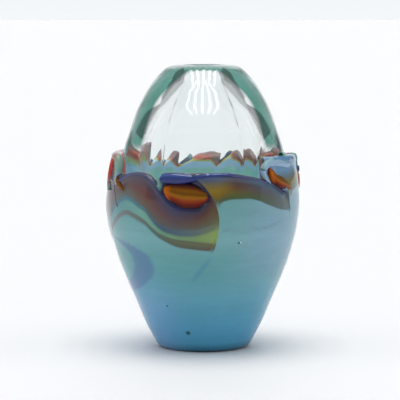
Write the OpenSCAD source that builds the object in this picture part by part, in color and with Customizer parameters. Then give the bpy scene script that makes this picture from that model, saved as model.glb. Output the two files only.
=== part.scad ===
// Hand blown art glass vase.
// A thick clear bubble with an optic-ribbed inside is held in a coloured overlay cup.
// The lip of the cup is pulled into eight overlapping waves, each one a stack of
// coloured trails: a rolled cobalt lip, a fold turned over at its left end, a plum band,
// a thin steel blue trail and a lime band that dives under the fold of the next wave.
// Azimuth 0 faces the front (-Y) and grows towards +X. All sizes are in millimetres.

/* [Body] */
// Overall height, foot to rim
total_h = 150; // [135:1:165]
// Largest diameter, at the belly of the overlay cup
belly_d = 102; // [92:1:112]
// Diameter of the flat ring that the vase stands on
foot_d = 44; // [38:1:47]
// Depth of the hollow ground into the foot where the pontil was broken off
pontil_depth = 0.8; // [0.4:0.1:1.2]

/* [Clear bubble] */
// Diameter of the mouth and neck bore
mouth_d = 17.2; // [15:0.2:20]
// How far the air bubble sits left of the vase's axis
bubble_shift = 0.3; // [0:0.1:3]
// Thickness of the first gather round the air bubble
gather_t = 3; // [2.4:0.1:3.4]
// Number of ribs that the optic mould left inside the bubble
rib_count = 5; // [4:1:8]
// How far each rib stands into the bubble
rib_h = 1.4; // [0.8:0.1:2]

/* [Overlay cup] */
// Wall of the overlay at the waves
lip_wall = 5; // [4:0.1:5.5]
// Wall of the overlay low on the body
low_wall = 3.4; // [3:0.1:4]
// Thickness of the pale lining on the inside of the cup
lining_t = 0.8; // [0.6:0.1:1]

/* [Waves] */
// Height of the cobalt lip where a wave starts as a roll
roll_h = 5; // [4:0.1:6]
// Height of the cobalt lip where it has thinned out
thin_lip_h = 1.8; // [1.4:0.1:2.2]
// Height of the steel blue trail under the plum band
blue_trail_h = 1.4; // [1:0.1:1.8]
// Thickness of the smears of colour on the cup
smear_t = 0.5; // [0.4:0.05:0.7]
// How far the turned-over folds swell out of the wall
fold_swell = 0.8; // [0.4:0.1:1]

/* [Hidden] */

// Outlines are drawn for a vase 150 high and 102 across, and stretched to the asked size
k_r = belly_d / 102;
k_z = total_h / 150;
// Facets of a full turn
turn_facets = 96;
// Points that a curve gets between two of its control points
curve_steps = 3;

// Outside of the overlay cup, as radius and height, from the foot's edge to the lip
cup_outline = [[25, 1.6], [26.2, 4], [31, 13], [36.5, 26], [42, 39], [46.5, 52],
    [49.8, 65], [51, 78], [50.2, 90], [49.2, 97], [48.2, 104]];
// Outside of the clear glass, from inside the lip up over the shoulder to the rim
dome_outline = [[43.6, 98], [41.9, 106], [39, 115], [35.5, 125], [31, 134.4],
    [27, 140.7], [21.2, 147.1], [18, 149.2], [12.6, 150]];
// Air bubble below the neck, from the bottom up to the neck bore
bubble_outline = [[9, 22.5], [18, 28], [25.5, 40], [30, 56], [33, 72], [34, 88],
    [33.5, 104], [31, 115], [26.6, 124.3], [21, 131.2], [16.4, 136], [12.4, 139.8],
    [9.5, 143.5], [mouth_d / 2, 146.5]];
// Height of the bubble's lowest point
bubble_floor_z = 21 * k_z;
// Radius of the flat at the bubble's lowest point
bubble_floor_r = 4 * k_r;
// Height of the clear glass's flat bottom, which rests on the cup's floor
cup_floor_z = 4 * k_z;
// The cup's own outline stops here, where only the waves go on
cup_outline_top = 94 * k_z;
// Rounding of the mouth's edge
mouth_round = 1.2;

function ease(t) = t <= 0 ? 0 : t >= 1 ? 1 : t * t * (3 - 2 * t);
function mix(a, b, t) = a + (b - a) * t;
function polar(r, azimuth, z) = [r * sin(azimuth), -r * cos(azimuth), z];

// Smooth curve through control points, stretched to the asked size
function curve_point(p0, p1, p2, p3, t) =
    0.5 * (2 * p1 + (p2 - p0) * t + (2 * p0 - 5 * p1 + 4 * p2 - p3) * t * t
        + (3 * p1 - p0 - 3 * p2 + p3) * t * t * t);
function smooth_curve(points) = let (last = len(points) - 1)
    [for (i = [0 : last - 1], s = [0 : curve_steps - 1])
        curve_point(points[max(i - 1, 0)], points[i], points[i + 1],
            points[min(i + 2, last)], s / curve_steps),
     points[last]];
function stretched(points) = [for (p = points) [p[0] * k_r, p[1] * k_z]];
function by_height(points) = [for (p = points) [p[1], p[0]]];

cup_curve = stretched(smooth_curve(cup_outline));
dome_curve = stretched(smooth_curve(dome_outline));
bubble_curve = stretched(smooth_curve(bubble_outline));
cup_table = by_height(cup_curve);

// Radius of the cup's outside and inside at a height
function cup_r(z) = lookup(z, cup_table);
function cup_wall(z) = mix(low_wall, lip_wall, ease((z - 40 * k_z) / (50 * k_z)));
function cup_inner_r(z) = cup_r(z) - cup_wall(z);

// ---- The eight waves ----
// Each wave: name, azimuth where its lip starts, azimuth of its sheet's free edge, height
// of its lip at the start, the middle and the end, height of its plum band and lime band,
// and how far the stack of the wave before it dives under its fold
waves = [
    ["left", -70, -56, 101, 95.5, 91, 8, 5, 5],
    ["front", -28, 7, 98.5, 98, 91, 7.5, 3.5, 14],
    ["right", 43, 64, 102, 99, 91, 7.5, 3.5, 7],
    ["right_rear", 92, 108, 99, 99.5, 91, 7, 4, 7],
    ["back_right", 130, 146, 99, 100, 90.5, 7, 4, 6],
    ["back", 168, 184, 98, 99, 91, 7, 3.5, 7],
    ["back_left", 207, 222, 99, 99, 91, 8, 4, 6],
    ["left_rear", 243, 260, 100, 99.5, 90.5, 8, 4, 7]
];
wave_count = len(waves);
full_turn = 360;
// Sideways step of the wavy sections, in degrees
section_step = 4;
// Slant of a sheet's free edge, in degrees
edge_slant = 0.6;

// A wave by number, counting on round the vase past the last one
function wave(i) = let (turns = floor(i / wave_count), w = waves[i - turns * wave_count])
    [w[0], w[1] + turns * full_turn, w[2] + turns * full_turn,
     w[3] * k_z, w[4] * k_z, w[5] * k_z, w[6] * k_z, w[7] * k_z, w[8] * k_z];
function start_a(i) = wave(i)[1];
function edge_a(i) = wave(i)[2];
function end_a(i) = start_a(i + 1);
function along(i, a) = (a - start_a(i)) / (end_a(i) - start_a(i));

// Height of the lip's top: a curve through its start, middle and end heights
function lip_top(i, a) = let (w = wave(i), u = along(i, a))
    w[3] * (1 - u) * (1 - 2 * u) + w[4] * 4 * u * (1 - u) + w[5] * u * (2 * u - 1);
function lip_bottom(i, a) =
    lip_top(i, a) - mix(roll_h, thin_lip_h, ease(along(i, a) / 0.6)) * k_z;
// Top of the colour stack: under the lip, and then diving under the next wave's fold
function stack_top(i, a) = a <= end_a(i)
    ? lip_bottom(i, a)
    : lip_bottom(i, end_a(i))
        - wave(i + 1)[8] * ease((a - end_a(i)) / (edge_a(i + 1) - end_a(i)));
function plum_bottom(i, a) = stack_top(i, a) - wave(i)[6] * mix(0.7, 1, ease(along(i, a)));
function blue_bottom(i, a) = plum_bottom(i, a) - blue_trail_h * k_z;
function lime_bottom(i, a) = blue_bottom(i, a) - wave(i)[7];

// Azimuths from one place to another in even steps
function azimuths(from, to) = let (n = max(2, round((to - from) / section_step)))
    [for (s = [0 : n]) mix(from, to, s / n)];

// Solid through a row of sections with the same even number of points each. Point k of a
// section lies across from its mate, counted back from the end, and both end caps are
// laced between such mates.
function mate(k, n) = n - 1 - k;
function cap(n, base, flip) = [for (k = [0 : n / 2 - 2])
    each flip
        ? [[base + mate(k + 1, n), base + k + 1, base + k],
           [base + mate(k, n), base + mate(k + 1, n), base + k]]
        : [[base + k, base + k + 1, base + mate(k + 1, n)],
           [base + k, base + mate(k + 1, n), base + mate(k, n)]]];
module skinned(sections) {
    n = len(sections[0]);
    last = len(sections) - 1;
    polyhedron(
        points = [for (section = sections) each section],
        faces = concat(
            cap(n, 0, false),
            [for (s = [0 : last - 1], k = [0 : n - 1]) let (k2 = (k + 1) % n)
                each [[s * n + k, (s + 1) * n + k, (s + 1) * n + k2],
                      [s * n + k, (s + 1) * n + k2, s * n + k2]]],
            cap(n, last * n, true)
        ),
        convexity = 6
    );
}

// Wall section between two heights, following the cup's inside and outside
function wall_section(a, low, high, swell = 0) = concat(
    [for (s = [0 : 2]) let (z = mix(low, high, s / 2))
        polar(cup_inner_r(z), a, z)],
    [for (s = [2 : -1 : 0]) let (z = mix(low, high, s / 2))
        polar(cup_r(z) + swell * (s == 1 ? 1 : 0.15), a, z)]
);

// Section of the lip, with its top rounded like fire-polished glass
function lip_section(a, low, high) = let (round_h = min(high - low, 2.4) * 0.5)
    concat(
        [polar(cup_inner_r(low), a, low), polar(cup_inner_r(high), a, high - round_h)],
        [polar(cup_inner_r(high) + 1.2, a, high), polar(cup_r(high) - 1.4, a, high)],
        [polar(cup_r(high), a, high - round_h), polar(cup_r(low), a, low)]
    );

// ---- Clear glass ----

// Solid core with the bubble's shape and its ribs, used to hollow the first gather
module ribbed_bubble() {
    levels = concat([[bubble_floor_r, bubble_floor_z]], bubble_curve,
        [[mouth_d / 2, total_h - mouth_round], [mouth_d / 2 + mouth_round, total_h + 0.01]]);
    rib_facets = rib_count * 14;
    fade_low = bubble_floor_z + 8;
    fade_high = total_h - 16;
    sections = [for (p = levels)
        let (fade = ease((p[1] - fade_low) / 16) * (1 - ease((p[1] - fade_high) / 8)))
        [for (k = [0 : rib_facets - 1]) let (
            a = full_turn * k / rib_facets,
            crease = 1 - abs(sin((a - 36) * rib_count / 2)),
            r = p[0] - rib_h * fade * crease * crease)
            polar(r, a, p[1])]];
    skinned(sections);
}

// Outside of the first gather: the bubble's outline grown by the gather's thickness
function grown(p, level) = [p[0] + gather_t * level, p[1]];
gather_curve = concat(
    [[0, bubble_floor_z - gather_t], [7 * k_r, bubble_floor_z - gather_t + 0.4]],
    [for (i = [1 : len(bubble_curve) - 4]) grown(bubble_curve[i], 1)],
    [[mouth_d / 2 + gather_t, bubble_curve[len(bubble_curve) - 1][1]]]
);

module gather_outside() {
    translate([-bubble_shift, 0, 0])
        rotate_extrude($fn = turn_facets)
            polygon(concat(gather_curve, [[mouth_d / 2 + gather_t, total_h], [0, total_h]]));
}

module inner_gather() {
    color([0.82, 0.92, 0.9, 0.4])
        difference() {
            intersection() {
                gather_outside();
                cylinder(h = total_h, r = belly_d, $fn = turn_facets);
            }
            translate([-bubble_shift, 0, 0]) ribbed_bubble();
        }
}

// Outline shared by the casing and the inside of the cup, up to where the lips begin
cup_inside_curve = [for (p = cup_curve) if (p[1] > cup_floor_z && p[1] < cup_outline_top)
    [cup_inner_r(p[1]), p[1]]];

module clear_casing() {
    floor_r = cup_inner_r(cup_floor_z);
    color([0.7, 0.88, 0.84, 0.4])
        difference() {
            rotate_extrude($fn = turn_facets)
                polygon(concat(
                    [[0, cup_floor_z], [floor_r - lining_t, cup_floor_z]],
                    [for (p = cup_inside_curve) [p[0] - lining_t, p[1]]],
                    dome_curve, [[0, total_h]]));
            gather_outside();
        }
}

// ---- Overlay cup ----

// Top of the cup's own glass: the lower edge of whichever wave's stack covers that azimuth
function cup_top(i, a) = lime_bottom(i, a);
function cup_edge_points() = [for (i = [0 : wave_count - 1])
    let (from = edge_a(i) + edge_slant, to = edge_a(i + 1))
    each [for (a = azimuths(from, to)) [a, cup_top(i, a)]]];

// Everything above the cup's wavy edge
module above_the_edge() {
    edge = cup_edge_points();
    inner_limit = 20;
    outer_limit = belly_d;
    ceiling = total_h;
    sections = [for (e = edge) [
        polar(inner_limit, e[0], e[1]), polar(inner_limit, e[0], ceiling),
        polar(outer_limit, e[0], ceiling), polar(outer_limit, e[0], e[1])]];
    n = 4;
    count = len(sections);
    polyhedron(
        points = [for (section = sections) each section],
        faces = [for (s = [0 : count - 1], k = [0 : n - 1])
            let (s2 = (s + 1) % count, k2 = (k + 1) % n)
            each [[s * n + k, s2 * n + k, s2 * n + k2],
                  [s * n + k, s2 * n + k2, s * n + k2]]],
        convexity = 8
    );
}

// Shell of revolution between two offsets from the cup's inside, cut to the wavy edge
module wavy_shell(outside, inside) {
    difference() {
        rotate_extrude($fn = turn_facets)
            polygon(concat(outside, [for (k = [len(inside) - 1 : -1 : 0]) inside[k]]));
        above_the_edge();
    }
}

module overlay_lining() {
    floor_r = cup_inner_r(cup_floor_z);
    color([0.6, 0.75, 0.85])
        wavy_shell(
            concat([[0, cup_floor_z - lining_t], [floor_r, cup_floor_z - lining_t]],
                cup_inside_curve),
            concat([[0, cup_floor_z], [floor_r - lining_t, cup_floor_z]],
                [for (p = cup_inside_curve) [p[0] - lining_t, p[1]]])
        );
}

module overlay_cup() {
    floor_r = cup_inner_r(cup_floor_z);
    under_floor = cup_floor_z - lining_t;
    pontil_r = foot_d * 0.28;
    pontil_ball_r = (pontil_r * pontil_r + pontil_depth * pontil_depth) / (2 * pontil_depth);
    color([0.36, 0.62, 0.68])
        difference() {
            wavy_shell(
                concat([[0, 0], [foot_d / 2, 0]],
                    [for (p = cup_curve) if (p[1] < cup_outline_top) p]),
                concat([[0, under_floor], [floor_r, under_floor]], cup_inside_curve)
            );
            translate([0, 0, pontil_depth - pontil_ball_r])
                sphere(r = pontil_ball_r, $fn = turn_facets);
        }
}

// Thin smear of colour marvered onto the cup: it runs from one azimuth and height to
// another, bows upwards between them, and is widest in the middle
module smear(from, to, z_from, z_to, bow, half_height) {
    steps = ceil((to - from) / 3);
    tip = 0.2;
    edge_t = 0.6;
    skinned([for (s = [0 : steps]) let (
        u = s / steps,
        a = mix(from, to, u),
        middle = mix(z_from, z_to, u) + bow * sin(180 * u),
        half = half_height * max(sin(180 * u), tip))
        concat(
            [for (t = [-1 : 0.5 : 1]) let (z = middle + half * t)
                polar(cup_r(z), a, z)],
            [for (t = [1 : -0.5 : -1]) let (z = middle + half * t)
                polar(cup_r(z) + smear_t * mix(1, edge_t, t * t), a, z)]
        )]);
}

module plum_veil() {
    color([0.38, 0.45, 0.62])
        smear(-72, -36, 58 * k_z, 41 * k_z, 3 * k_z, 6 * k_z);
}

module blue_streak() {
    color([0.25, 0.45, 0.75])
        smear(-9, 6, 46 * k_z, 48 * k_z, 0, 4 * k_z);
}

// ---- Parts of one wave ----

module lip(i) {
    color([0.12, 0.2, 0.55])
        skinned([for (a = azimuths(start_a(i), end_a(i)))
            lip_section(a, lip_bottom(i, a), lip_top(i, a))]);
}

// Turned-over glass between a wave's lip and the stack of the wave before it
module fold(i) {
    color([0.85, 0.5, 0.12])
        skinned([for (a = azimuths(start_a(i), edge_a(i)))
            let (swell = fold_swell * sin(180 * (a - start_a(i)) / (edge_a(i) - start_a(i))))
            wall_section(a, stack_top(i - 1, a), lip_bottom(i, a), max(swell, 0))]);
}

// Band of the stack between two heights, from the sheet's free edge to the next one
module band(i, colour, top, bottom) {
    color(colour)
        skinned([for (a = azimuths(edge_a(i) + edge_slant, edge_a(i + 1)))
            wall_section(a, bottom(a), top(a))]);
}

module plum_band(i) {
    band(i, [0.42, 0.2, 0.22], function (a) stack_top(i, a), function (a) plum_bottom(i, a));
}

module blue_trail(i) {
    band(i, [0.3, 0.45, 0.7], function (a) plum_bottom(i, a), function (a) blue_bottom(i, a));
}

module lime_band(i) {
    band(i, [0.55, 0.65, 0.2], function (a) blue_bottom(i, a), function (a) lime_bottom(i, a));
}

// Scroll at the start of a wave, rolled along the lip over the end of the wave before
module curl(i) {
    curl_r = 2.6;
    sides = 8;
    reach = 9;
    from = start_a(i) - reach;
    color([0.75, 0.3, 0.2])
        skinned([for (s = [0 : 6]) let (
            t = s / 6,
            a = from + reach * t,
            size = curl_r * mix(0.35, 1, ease(t * 1.5)),
            z = mix(lip_top(i - 1, from) + size, lip_top(i, start_a(i)) - size, ease(t)),
            r = cup_r(z) - lip_wall / 2)
            [for (k = [0 : sides - 1]) let (b = full_turn * k / sides)
                polar(r + size * cos(b), a, z - size * sin(b))]]);
}

inner_gather();
clear_casing();
overlay_lining();
overlay_cup();
plum_veil();
blue_streak();
lip(0);  // left_lip
fold(0);  // left_fold
plum_band(0);  // left_plum_band
blue_trail(0);  // left_blue_trail
lime_band(0);  // left_lime_band
curl(0);  // left_curl
lip(1);  // front_lip
fold(1);  // front_fold
plum_band(1);  // front_plum_band
blue_trail(1);  // front_blue_trail
lime_band(1);  // front_lime_band
curl(1);  // front_curl
lip(2);  // right_lip
fold(2);  // right_fold
plum_band(2);  // right_plum_band
blue_trail(2);  // right_blue_trail
lime_band(2);  // right_lime_band
curl(2);  // right_curl
lip(3);  // right_rear_lip
fold(3);  // right_rear_fold
plum_band(3);  // right_rear_plum_band
blue_trail(3);  // right_rear_blue_trail
lime_band(3);  // right_rear_lime_band
curl(3);  // right_rear_curl
lip(4);  // back_right_lip
fold(4);  // back_right_fold
plum_band(4);  // back_right_plum_band
blue_trail(4);  // back_right_blue_trail
lime_band(4);  // back_right_lime_band
curl(4);  // back_right_curl
lip(5);  // back_lip
fold(5);  // back_fold
plum_band(5);  // back_plum_band
blue_trail(5);  // back_blue_trail
lime_band(5);  // back_lime_band
curl(5);  // back_curl
lip(6);  // back_left_lip
fold(6);  // back_left_fold
plum_band(6);  // back_left_plum_band
blue_trail(6);  // back_left_blue_trail
lime_band(6);  // back_left_lime_band
curl(6);  // back_left_curl
lip(7);  // left_rear_lip
fold(7);  // left_rear_fold
plum_band(7);  // left_rear_plum_band
blue_trail(7);  // left_rear_blue_trail
lime_band(7);  // left_rear_lime_band
curl(7);  // left_rear_curl
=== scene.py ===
"""Hand blown art glass vase: a thick clear bubble held in a coloured cup with a wavy lip."""
import bisect
import math
from collections import namedtuple

import bmesh
import bpy
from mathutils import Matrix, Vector, noise


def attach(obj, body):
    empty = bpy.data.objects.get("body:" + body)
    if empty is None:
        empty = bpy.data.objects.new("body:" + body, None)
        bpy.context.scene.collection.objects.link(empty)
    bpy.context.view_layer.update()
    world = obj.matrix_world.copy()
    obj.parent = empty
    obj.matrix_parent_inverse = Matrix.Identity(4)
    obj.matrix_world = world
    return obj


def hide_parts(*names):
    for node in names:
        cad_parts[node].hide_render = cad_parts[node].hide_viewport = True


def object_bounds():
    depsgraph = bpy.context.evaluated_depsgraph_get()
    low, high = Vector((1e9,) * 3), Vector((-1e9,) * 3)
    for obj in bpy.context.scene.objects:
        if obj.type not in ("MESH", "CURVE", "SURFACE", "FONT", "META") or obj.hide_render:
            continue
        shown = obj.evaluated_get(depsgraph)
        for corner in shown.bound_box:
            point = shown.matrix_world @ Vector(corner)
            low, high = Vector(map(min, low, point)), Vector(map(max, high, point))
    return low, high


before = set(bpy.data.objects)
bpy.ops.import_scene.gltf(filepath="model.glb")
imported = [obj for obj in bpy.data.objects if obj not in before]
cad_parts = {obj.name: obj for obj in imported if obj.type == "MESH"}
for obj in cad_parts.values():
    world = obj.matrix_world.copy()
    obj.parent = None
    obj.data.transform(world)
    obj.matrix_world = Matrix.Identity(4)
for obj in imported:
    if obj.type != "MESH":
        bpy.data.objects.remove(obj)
cad_low, cad_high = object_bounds()

# The outlines below are drawn for a vase 150 mm high, and the frame gives its real height.
DRAWN_HEIGHT = 150.0
MM = (cad_high.z - cad_low.z) / DRAWN_HEIGHT
FULL_TURN = 360.0


# ---------------------------------------------------------------- small helpers

def clamp(value, low=0.0, high=1.0):
    return max(low, min(high, value))


def mix(a, b, t):
    return a + (b - a) * t


def ease(t):
    t = clamp(t)
    return t * t * (3.0 - 2.0 * t)


def hump(distance, width):
    """1 in the middle of a soft ridge, falling to 0 away from it."""
    return math.exp(-(distance / width) ** 2)


def shade(red, green, blue):
    """Linear colour from the values that a colour chart gives."""
    def linear(value):
        value /= 255.0
        return value / 12.92 if value <= 0.04045 else ((value + 0.055) / 1.055) ** 2.4
    return Vector((linear(red), linear(green), linear(blue)))


def curve(points):
    """Smooth function through (place, value) points, without overshoot."""
    xs = [p[0] for p in points]
    ys = [p[1] for p in points]
    slopes = [(ys[i + 1] - ys[i]) / (xs[i + 1] - xs[i]) for i in range(len(xs) - 1)]
    tangents = [slopes[0]]
    for left, right in zip(slopes, slopes[1:]):
        tangents.append(0.0 if left * right <= 0.0 else 2.0 * left * right / (left + right))
    tangents.append(slopes[-1])

    def value_at(x):
        if x <= xs[0]:
            return ys[0]
        if x >= xs[-1]:
            return ys[-1]
        i = bisect.bisect_right(xs, x) - 1
        span = xs[i + 1] - xs[i]
        t = (x - xs[i]) / span
        return ((1 + 2 * t) * (1 - t) ** 2 * ys[i] + t * (1 - t) ** 2 * span * tangents[i]
                + t * t * (3 - 2 * t) * ys[i + 1] + t * t * (t - 1) * span * tangents[i + 1])
    return value_at


def stops(*rows):
    """Row of (place, colour) stops from rows of place, red, green and blue."""
    return [(place, shade(*colour)) for place, *colour in rows]


def ramp(row, place):
    """Colour at a place on a row of stops."""
    if place <= row[0][0]:
        return row[0][1]
    for (x0, c0), (x1, c1) in zip(row, row[1:]):
        if place <= x1:
            return c0.lerp(c1, (place - x0) / (x1 - x0))
    return row[-1][1]


def polar(radius, azimuth, height):
    """Point from drawing millimetres; azimuth 0 is the front and grows to the right."""
    a = math.radians(azimuth)
    return Vector((radius * math.sin(a) * MM, -radius * math.cos(a) * MM, height * MM))


def azimuth_of(point):
    return math.degrees(math.atan2(point.x, -point.y))


# ---------------------------------------------------------------- the vase's outlines

CUP_RADIUS = curve([(0, 22), (0.5, 23.6), (1.6, 25), (4, 26.3), (13, 31), (26, 36.5), (39, 42),
                    (52, 46.6), (65, 49.8), (78, 51), (90, 50.2), (97, 49.2), (104, 48.0)])
CUP_WALL = curve([(0, 3.4), (40, 3.4), (88, 5.0), (104, 5.2)])
DOME_OUTLINE = [(43.8, 97), (42.1, 106), (39.1, 115), (35.6, 125), (31.1, 134.4), (27.1, 140.7),
                (21.4, 147.0), (18.2, 149.0), (15.4, 149.75), (12.6, 150), (9.9, 149.7), (8.9, 148.9)]
BUBBLE_OUTLINE = [(8.6, 148.0), (8.6, 146.5), (9.5, 143.5), (12.4, 139.8), (16.4, 136), (21, 131.2),
                  (26.6, 124.3), (31, 115), (33.5, 104), (34, 88), (33, 72), (30, 56), (25.5, 40),
                  (18, 28), (9, 22.5), (4, 21.1)]
BUBBLE_FLOOR = 21.0
BUBBLE_SHIFT = 0.3
RIB_COUNT = 5
RIB_HEIGHT = 0.75
FIRST_RIB = 36.0


def smoothed(outline, steps):
    """More points along an outline or a row of stations, on a soft curve through the given ones."""
    result = []
    last = len(outline) - 1
    for i in range(last):
        p0, p1, p2, p3 = (outline[clamp_index(i + k, last)] for k in (-1, 0, 1, 2))
        for s in range(steps):
            t = s / steps
            result.append(tuple(
                0.5 * (2 * p1[d] + (p2[d] - p0[d]) * t
                       + (2 * p0[d] - 5 * p1[d] + 4 * p2[d] - p3[d]) * t * t
                       + (3 * p1[d] - p0[d] - 3 * p2[d] + p3[d]) * t ** 3)
                for d in range(len(p1))))
    result.append(tuple(outline[last]))
    return result


def clamp_index(i, last):
    return max(0, min(last, i))


# ---------------------------------------------------------------- the waves of the lip

# Lines of a wave's stack over its own stretch: place 0 is the free edge of its sheet, 1 where
# the next wave starts, 2 the free edge of the next sheet, under which it dives. Heights in mm.
ROLLING_STACK = {
    "lip": [(-0.5, 90.0), (-0.18, 90.0), (0.0, 92.0), (0.15, 93.4), (0.38, 94.6),
            (0.59, 94.7), (0.76, 93.2), (0.88, 91.0), (1.03, 86.5), (1.16, 81.8), (1.27, 79.2),
            (1.46, 77.4), (1.65, 77.0), (1.76, 78.8), (1.84, 82.0), (1.90, 86.0), (2.0, 90.0)],
    "middle": [(-0.8, 68.0), (-0.41, 74.6), (-0.05, 80.4), (0.17, 82.4), (0.36, 81.6),
               (0.54, 79.4), (0.72, 77.0), (0.84, 73.8), (1.0, 70.0), (1.18, 67.2), (1.38, 65.9),
               (1.6, 66.0), (1.75, 67.2), (1.88, 68.7), (2.0, 70.2)],
    "bottom": [(-1.1, 57.0), (-0.76, 62.5), (-0.47, 67.4), (0.0, 73.4), (0.22, 74.8),
               (0.41, 73.6), (0.68, 70.8), (0.86, 66.8), (1.05, 63.4), (1.3, 60.6), (1.5, 59.7),
               (1.7, 59.0), (2.0, 58.2)],
}
LEVEL_STACK = {
    "lip": [(0.0, 95.0), (0.1, 95.2), (0.35, 94.3), (0.65, 92.6), (0.97, 90.0), (1.25, 87.4),
            (1.42, 86.0), (1.65, 84.4), (1.85, 84.4), (2.0, 88.0)],
    "middle": [(0.0, 84.4), (0.08, 85.5), (0.3, 86.6), (0.55, 85.9), (0.8, 84.0), (1.0, 81.2),
               (1.4, 78.6), (2.0, 77.6)],
    "bottom": [(0.0, 80.4), (0.08, 82.0), (0.3, 83.1), (0.5, 83.1), (0.72, 81.8), (0.95, 79.2),
               (1.25, 77.1), (1.65, 75.6), (2.0, 75.2)],
}
# The rolled start of a lip, from the start of the wave (0) to its free edge (1):
# place, height of the roll's middle, half its height, half its depth
THICK_ROLL = [(0.055, 92.9, 0.9, 1.0), (0.07, 93.0, 2.0, 2.2), (0.12, 93.2, 2.9, 3.0),
              (0.34, 93.1, 3.3, 3.2), (0.5, 93.3, 2.6, 2.9), (0.68, 94.0, 1.8, 2.4),
              (0.86, 94.8, 1.5, 2.2)]
HIGH_ROLL = [(-0.06, 90.4, 0.3, 0.5), (-0.2, 93.5, 1.0, 1.7), (-0.2, 97.0, 1.5, 2.2),
             (0.02, 100.2, 2.0, 2.4), (0.35, 100.2, 2.4, 2.4), (0.7, 99.4, 2.2, 2.3),
             (1.05, 98.4, 1.8, 2.2)]
LOOP_ROLL = [(0.62, 88.0, 1.0, 1.2), (0.42, 92.0, 1.6, 1.8), (0.3, 97.0, 1.9, 2.2),
             (0.02, 101.4, 2.0, 2.4), (-0.36, 101.8, 2.0, 2.5), (-0.62, 98.0, 1.9, 2.5),
             (-0.68, 92.0, 1.7, 2.2), (-0.6, 87.0, 1.1, 1.5), (-0.4, 84.5, 0.3, 0.4)]
# Outline of the fold under a roll: place along it, its lower and its upper edge
WIDE_FOLD = [(0.125, 85.2, 89.6), (0.16, 83.4, 90.2), (0.23, 81.6, 90.8), (0.34, 79.6, 91.2),
             (0.47, 78.0, 91.3), (0.6, 78.0, 90.6), (0.68, 78.6, 89.5), (0.76, 79.8, 88.0),
             (0.82, 81.6, 86.5), (0.85, 83.6, 84.9)]
LEANING_FOLD = [(0.0, 94.6, 98.4), (0.06, 91.6, 98.0), (0.18, 89.2, 96.8), (0.4, 87.0, 94.8),
                (0.65, 86.2, 92.6), (0.87, 85.6, 90.2), (1.1, 85.0, 87.4), (1.24, 84.9, 85.6)]
# Heights that the folds hang from
FOLD_TOP = {"wide": 94.5, "leaning": 101.0}

COBALT = shade(22, 40, 112)
NAVY = shade(18, 24, 62)
PALE_BLUE = shade(140, 170, 200)
MINT = shade(120, 172, 158)
OLIVE = shade(104, 110, 58)
RED = shade(190, 44, 18)
GREEN = shade(60, 120, 84)

# Each wave: where its lip starts and where the free edge of its sheet is, in degrees, the lines
# of its stack, its roll, its fold and the colour of the roll
Wave = namedtuple("Wave", "name start edge stack roll fold colour")
WAVES = [
    Wave("left", -70, -57, ROLLING_STACK, LOOP_ROLL, LEANING_FOLD, RED),
    Wave("front", -28, 9, LEVEL_STACK, THICK_ROLL, WIDE_FOLD, COBALT),
    Wave("right", 43, 63, LEVEL_STACK, HIGH_ROLL, LEANING_FOLD, PALE_BLUE),
    Wave("right_rear", 92, 108, ROLLING_STACK, THICK_ROLL, LEANING_FOLD, COBALT),
    Wave("back_right", 130, 147, LEVEL_STACK, THICK_ROLL, WIDE_FOLD, COBALT),
    Wave("back", 168, 186, ROLLING_STACK, HIGH_ROLL, LEANING_FOLD, PALE_BLUE),
    Wave("back_left", 207, 222, LEVEL_STACK, THICK_ROLL, WIDE_FOLD, COBALT),
    Wave("left_rear", 243, 261, ROLLING_STACK, THICK_ROLL, LEANING_FOLD, COBALT),
]
COUNT = len(WAVES)
# Waves after the two front ones follow the crown's height, and rolls behind the right one sit lower
FIRST_FOLLOWING = 2
FIRST_HIDDEN = 3
LEFT_SHEET_EXTRA = 33.0
# Height of the cup's edge: it rises steeply where a wave starts and falls slowly along it
EDGE_HEIGHT = curve([
    (-8, 94.4), (0, 94.6), (5, 94.4), (12, 94.9), (21, 93.8), (31, 92.2), (40, 89.8), (43, 95),
    (47, 99.5), (53, 101.5), (60, 102), (76, 102), (88, 101.4), (99, 102), (112, 101.6),
    (120, 98), (128, 90.5), (132, 91), (137, 93.4), (144, 94), (149, 94.3),
    (155, 95.6), (161, 93.4), (166, 90.5), (168.5, 88), (171, 91), (174, 93), (189, 93.2),
    (195, 91.6), (203, 88), (207, 90.4), (213, 93.6), (221, 94.4), (229, 91.4), (234, 90.5),
    (238, 93.5), (243, 99), (250, 102.2), (276, 102.6), (286, 102), (291, 98), (296, 92.4),
    (304, 92.6), (313, 94.2), (320, 94.2), (328, 91), (331.5, 88.5), (335, 91.5), (338, 94.6),
    (345, 94.6), (352, 94.4), (360, 94.6), (365, 94.4)])
LINES = [{name: curve(points) for name, points in wave.stack.items()} for wave in WAVES]


def start_of(k):
    return WAVES[k % COUNT].start + FULL_TURN * (k // COUNT)


def edge_of(k):
    return WAVES[k % COUNT].edge + FULL_TURN * (k // COUNT)


def sheet_edge(k):
    """Where the sheet of a wave really ends; the left one is torn further back."""
    return edge_of(k) - (LEFT_SHEET_EXTRA if k % COUNT == 0 else 0.0)


def wave_at(azimuth):
    """Number of the wave whose sheet is outermost at an azimuth."""
    for k in range(-1, COUNT + 1):
        if sheet_edge(k) <= azimuth < sheet_edge(k + 1):
            return k
    return COUNT


def place_on(k, azimuth):
    """Place on wave k: 0 at its free edge, 1 where the next wave starts, 2 at the next edge."""
    if azimuth < start_of(k + 1):
        return (azimuth - edge_of(k)) / (start_of(k + 1) - edge_of(k))
    return 1.0 + (azimuth - start_of(k + 1)) / (edge_of(k + 1) - start_of(k + 1))


def azimuth_on(k, place):
    """Azimuth of a place on wave k."""
    if place < 1.0:
        return mix(edge_of(k), start_of(k + 1), place)
    return mix(start_of(k + 1), edge_of(k + 1), place - 1.0)


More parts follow.
